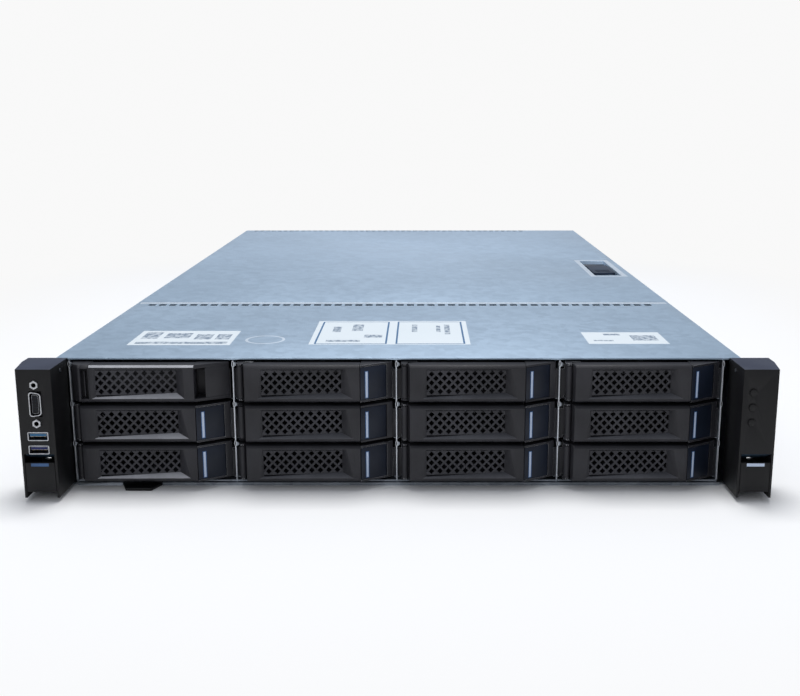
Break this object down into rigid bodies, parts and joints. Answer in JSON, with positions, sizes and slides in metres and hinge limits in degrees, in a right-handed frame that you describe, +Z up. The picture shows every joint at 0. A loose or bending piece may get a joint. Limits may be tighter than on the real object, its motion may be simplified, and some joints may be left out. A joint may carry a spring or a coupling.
{
  "type": "rack server",
  "caption": "Flat two-unit rack server with sliding front drive trays, lever fronts, two side ears and a two-part steel cover.",
  "frame": {"origin": "centre of the chassis underside, halfway between the front and rear edges of the chassis", "axes": "+X to the right seen from the front, +Y to the rear along the depth, +Z up"},
  "size_m": [0.4826, 0.8417, 0.087],
  "materials": {
    "zinc_steel": "zinc-plated sheet, satin",
    "cover_steel": "light grey-blue, satin",
    "black_plastic": "fine-grained, matt",
    "tray_plastic": "dark grey, satin",
    "button_plastic": "dark blue-black, semi-gloss with a pale stripe",
    "drive_metal": "die-cast, satin",
    "circuit_board": "green solder mask",
    "bare_aluminium": "extruded, satin",
    "connector_metal": "nickel-plated shells",
    "fan_plastic": "black, matt",
    "supply_case": "bare sheet, satin"
  },
  "bodies": {
    "chassis": {"chassis_base": "zinc_steel", "front_cover": "cover_steel", "drive_cage": "zinc_steel", "backplane": "circuit_board", "fan_frame": "black_plastic", "motherboard": "circuit_board", "cpu_heat_sinks": "bare_aluminium", "memory_modules": "circuit_board", "riser_cages": "zinc_steel", "left_ear": "black_plastic", "right_ear": "black_plastic", "front_ports": "connector_metal"},
    "drive_tray_12": {"drive_tray_12": "drive_metal"},
    "tray_lever_12": {"tray_lever_12": "tray_plastic"},
    "release_button_12": {"release_button_12": "button_plastic"},
    "drive_blank": {"drive_blank": "tray_plastic"},
    "top_cover": {"top_cover": "cover_steel"},
    "cover_latch": {"cover_latch": "black_plastic"},
    "left_ear_latch": {"left_ear_latch": "black_plastic"},
    "right_ear_latch": {"right_ear_latch": "black_plastic"},
    "psu_1": {"psu_1": "supply_case"},
    "psu_2": {"psu_2": "supply_case"},
    "power_button": {"power_button": "black_plastic"},
    "identify_button": {"identify_button": "black_plastic"},
    "reset_button": {"reset_button": "black_plastic"},
    "pull_out_tag": {"pull_out_tag": "black_plastic"},
    "fan_rotor_1": {"fan_rotor_1": "fan_plastic"},
    "fan_rotor_2": {"fan_rotor_2": "fan_plastic"},
    "fan_rotor_3": {"fan_rotor_3": "fan_plastic"},
    "fan_rotor_4": {"fan_rotor_4": "fan_plastic"},
    "drive_tray_13": {"drive_tray_13": "drive_metal"},
    "tray_lever_13": {"tray_lever_13": "tray_plastic"},
    "release_button_13": {"release_button_13": "button_plastic"},
    "drive_tray_14": {"drive_tray_14": "drive_metal"},
    "tray_lever_14": {"tray_lever_14": "tray_plastic"},
    "release_button_14": {"release_button_14": "button_plastic"},
    "drive_tray_21": {"drive_tray_21": "drive_metal"},
    "tray_lever_21": {"tray_lever_21": "tray_plastic"},
    "release_button_21": {"release_button_21": "button_plastic"},
    "drive_tray_22": {"drive_tray_22": "drive_metal"},
    "tray_lever_22": {"tray_lever_22": "tray_plastic"},
    "release_button_22": {"release_button_22": "button_plastic"},
    "drive_tray_23": {"drive_tray_23": "drive_metal"},
    "tray_lever_23": {"tray_lever_23": "tray_plastic"},
    "release_button_23": {"release_button_23": "button_plastic"},
    "drive_tray_24": {"drive_tray_24": "drive_metal"},
    "tray_lever_24": {"tray_lever_24": "tray_plastic"},
    "release_button_24": {"release_button_24": "button_plastic"},
    "drive_tray_31": {"drive_tray_31": "drive_metal"},
    "tray_lever_31": {"tray_lever_31": "tray_plastic"},
    "release_button_31": {"release_button_31": "button_plastic"},
    "drive_tray_32": {"drive_tray_32": "drive_metal"},
    "tray_lever_32": {"tray_lever_32": "tray_plastic"},
    "release_button_32": {"release_button_32": "button_plastic"},
    "drive_tray_33": {"drive_tray_33": "drive_metal"},
    "tray_lever_33": {"tray_lever_33": "tray_plastic"},
    "release_button_33": {"release_button_33": "button_plastic"},
    "drive_tray_34": {"drive_tray_34": "drive_metal"},
    "tray_lever_34": {"tray_lever_34": "tray_plastic"},
    "release_button_34": {"release_button_34": "button_plastic"}
  },
  "joints": [
    {"name": "tray_12_slide", "type": "slide", "parent": "chassis", "child": "drive_tray_12", "axis": [0, -1, 0], "range_m": [0, 0.17]},
    {"name": "lever_12_swing", "type": "hinge", "parent": "drive_tray_12", "child": "tray_lever_12", "pos_m": [-0.1025, -0.3964, 0.07245], "axis": [0, 0, -1], "range_deg": [0, 55]},
    {"name": "button_12_press", "type": "slide", "parent": "drive_tray_12", "child": "release_button_12", "axis": [0, 1, 0], "range_m": [0, 0.0015], "stiffness_N_per_m": 300, "springref_m": -0.001},
    {"name": "drive_blank_slide", "type": "slide", "parent": "chassis", "child": "drive_blank", "axis": [0, -1, 0], "range_m": [0, 0.055]},
    {"name": "top_cover_slide", "type": "slide", "parent": "chassis", "child": "top_cover", "axis": [0, 1, 0], "range_m": [0, 0.012]},
    {"name": "cover_latch_swing", "type": "hinge", "parent": "top_cover", "child": "cover_latch", "pos_m": [0.1995, 0.064, 0.0826], "axis": [-1, 0, 0], "range_deg": [0, 75]},
    {"name": "left_ear_latch_tip", "type": "hinge", "parent": "chassis", "child": "left_ear_latch", "pos_m": [-0.227, -0.4184, 0.0086], "axis": [1, 0, 0], "range_deg": [0, 45], "stiffness_Nm_per_rad": 0.02, "springref_deg": -17.19},
    {"name": "right_ear_latch_tip", "type": "hinge", "parent": "chassis", "child": "right_ear_latch", "pos_m": [0.227, -0.4184, 0.0086], "axis": [1, 0, 0], "range_deg": [0, 45], "stiffness_Nm_per_rad": 0.02, "springref_deg": -17.19},
    {"name": "psu_1_slide", "type": "slide", "parent": "chassis", "child": "psu_1", "axis": [0, 1, 0], "range_m": [0, 0.16]},
    {"name": "psu_2_slide", "type": "slide", "parent": "chassis", "child": "psu_2", "axis": [0, 1, 0], "range_m": [0, 0.16]},
    {"name": "power_button_press", "type": "slide", "parent": "chassis", "child": "power_button", "axis": [0, 1, 0], "range_m": [0, 0.0012], "stiffness_N_per_m": 300, "springref_m": -0.001},
    {"name": "identify_button_press", "type": "slide", "parent": "chassis", "child": "identify_button", "axis": [0, 1, 0], "range_m": [0, 0.0012], "stiffness_N_per_m": 300, "springref_m": -0.001},
    {"name": "reset_button_press", "type": "slide", "parent": "chassis", "child": "reset_button", "axis": [0, 1, 0], "range_m": [0, 0.0012], "stiffness_N_per_m": 300, "springref_m": -0.001},
    {"name": "pull_out_tag_slide", "type": "slide", "parent": "chassis", "child": "pull_out_tag", "axis": [0, -1, 0], "range_m": [0, 0.06]},
    {"name": "fan_1_spin", "type": "hinge", "parent": "chassis", "child": "fan_rotor_1", "pos_m": [-0.1599, -0.138, 0.0412], "axis": [0, 1, 0], "continuous": true},
    {"name": "fan_2_spin", "type": "hinge", "parent": "chassis", "child": "fan_rotor_2", "pos_m": [-0.0533, -0.138, 0.0412], "axis": [0, 1, 0], "continuous": true},
    {"name": "fan_3_spin", "type": "hinge", "parent": "chassis", "child": "fan_rotor_3", "pos_m": [0.0533, -0.138, 0.0412], "axis": [0, 1, 0], "continuous": true},
    {"name": "fan_4_spin", "type": "hinge", "parent": "chassis", "child": "fan_rotor_4", "pos_m": [0.1599, -0.138, 0.0412], "axis": [0, 1, 0], "continuous": true},
    {"name": "tray_13_slide", "type": "slide", "parent": "chassis", "child": "drive_tray_13", "axis": [0, -1, 0], "range_m": [0, 0.17]},
    {"name": "lever_13_swing", "type": "hinge", "parent": "drive_tray_13", "child": "tray_lever_13", "pos_m": [0.0042, -0.3964, 0.07245], "axis": [0, 0, -1], "range_deg": [0, 55]},
    {"name": "button_13_press", "type": "slide", "parent": "drive_tray_13", "child": "release_button_13", "axis": [0, 1, 0], "range_m": [0, 0.0015], "stiffness_N_per_m": 300, "springref_m": -0.001},
    {"name": "tray_14_slide", "type": "slide", "parent": "chassis", "child": "drive_tray_14", "axis": [0, -1, 0], "range_m": [0, 0.17]},
    {"name": "lever_14_swing", "type": "hinge", "parent": "drive_tray_14", "child": "tray_lever_14", "pos_m": [0.1109, -0.3964, 0.07245], "axis": [0, 0, -1], "range_deg": [0, 55]},
    {"name": "button_14_press", "type": "slide", "parent": "drive_tray_14", "child": "release_button_14", "axis": [0, 1, 0], "range_m": [0, 0.0015], "stiffness_N_per_m": 300, "springref_m": -0.001},
    {"name": "tray_21_slide", "type": "slide", "parent": "chassis", "child": "drive_tray_21", "axis": [0, -1, 0], "range_m": [0, 0.17]},
    {"name": "lever_21_swing", "type": "hinge", "parent": "drive_tray_21", "child": "tray_lever_21", "pos_m": [-0.2092, -0.3964, 0.04545], "axis": [0, 0, -1], "range_deg": [0, 55]},
    {"name": "button_21_press", "type": "slide", "parent": "drive_tray_21", "child": "release_button_21", "axis": [0, 1, 0], "range_m": [0, 0.0015], "stiffness_N_per_m": 300, "springref_m": -0.001},
    {"name": "tray_22_slide", "type": "slide", "parent": "chassis", "child": "drive_tray_22", "axis": [0, -1, 0], "range_m": [0, 0.17]},
    {"name": "lever_22_swing", "type": "hinge", "parent": "drive_tray_22", "child": "tray_lever_22", "pos_m": [-0.1025, -0.3964, 0.04545], "axis": [0, 0, -1], "range_deg": [0, 55]},
    {"name": "button_22_press", "type": "slide", "parent": "drive_tray_22", "child": "release_button_22", "axis": [0, 1, 0], "range_m": [0, 0.0015], "stiffness_N_per_m": 300, "springref_m": -0.001},
    {"name": "tray_23_slide", "type": "slide", "parent": "chassis", "child": "drive_tray_23", "axis": [0, -1, 0], "range_m": [0, 0.17]},
    {"name": "lever_23_swing", "type": "hinge", "parent": "drive_tray_23", "child": "tray_lever_23", "pos_m": [0.0042, -0.3964, 0.04545], "axis": [0, 0, -1], "range_deg": [0, 55]},
    {"name": "button_23_press", "type": "slide", "parent": "drive_tray_23", "child": "release_button_23", "axis": [0, 1, 0], "range_m": [0, 0.0015], "stiffness_N_per_m": 300, "springref_m": -0.001},
    {"name": "tray_24_slide", "type": "slide", "parent": "chassis", "child": "drive_tray_24", "axis": [0, -1, 0], "range_m": [0, 0.17]},
    {"name": "lever_24_swing", "type": "hinge", "parent": "drive_tray_24", "child": "tray_lever_24", "pos_m": [0.1109, -0.3964, 0.04545], "axis": [0, 0, -1], "range_deg": [0, 55]},
    {"name": "button_24_press", "type": "slide", "parent": "drive_tray_24", "child": "release_button_24", "axis": [0, 1, 0], "range_m": [0, 0.0015], "stiffness_N_per_m": 300, "springref_m": -0.001},
    {"name": "tray_31_slide", "type": "slide", "parent": "chassis", "child": "drive_tray_31", "axis": [0, -1, 0], "range_m": [0, 0.17]},
    {"name": "lever_31_swing", "type": "hinge", "parent": "drive_tray_31", "child": "tray_lever_31", "pos_m": [-0.2092, -0.3964, 0.01845], "axis": [0, 0, -1], "range_deg": [0, 55]},
    {"name": "button_31_press", "type": "slide", "parent": "drive_tray_31", "child": "release_button_31", "axis": [0, 1, 0], "range_m": [0, 0.0015], "stiffness_N_per_m": 300, "springref_m": -0.001},
    {"name": "tray_32_slide", "type": "slide", "parent": "chassis", "child": "drive_tray_32", "axis": [0, -1, 0], "range_m": [0, 0.17]},
    {"name": "lever_32_swing", "type": "hinge", "parent": "drive_tray_32", "child": "tray_lever_32", "pos_m": [-0.1025, -0.3964, 0.01845], "axis": [0, 0, -1], "range_deg": [0, 55]},
    {"name": "button_32_press", "type": "slide", "parent": "drive_tray_32", "child": "release_button_32", "axis": [0, 1, 0], "range_m": [0, 0.0015], "stiffness_N_per_m": 300, "springref_m": -0.001},
    {"name": "tray_33_slide", "type": "slide", "parent": "chassis", "child": "drive_tray_33", "axis": [0, -1, 0], "range_m": [0, 0.17]},
    {"name": "lever_33_swing", "type": "hinge", "parent": "drive_tray_33", "child": "tray_lever_33", "pos_m": [0.0042, -0.3964, 0.01845], "axis": [0, 0, -1], "range_deg": [0, 55]},
    {"name": "button_33_press", "type": "slide", "parent": "drive_tray_33", "child": "release_button_33", "axis": [0, 1, 0], "range_m": [0, 0.0015], "stiffness_N_per_m": 300, "springref_m": -0.001},
    {"name": "tray_34_slide", "type": "slide", "parent": "chassis", "child": "drive_tray_34", "axis": [0, -1, 0], "range_m": [0, 0.17]},
    {"name": "lever_34_swing", "type": "hinge", "parent": "drive_tray_34", "child": "tray_lever_34", "pos_m": [0.1109, -0.3964, 0.01845], "axis": [0, 0, -1], "range_deg": [0, 55]},
    {"name": "button_34_press", "type": "slide", "parent": "drive_tray_34", "child": "release_button_34", "axis": [0, 1, 0], "range_m": [0, 0.0015], "stiffness_N_per_m": 300, "springref_m": -0.001}
  ],
  "couplings": [
    {"joint": "cover_latch_swing", "follows": "top_cover_slide", "rad_per_m": 109}
  ]
}
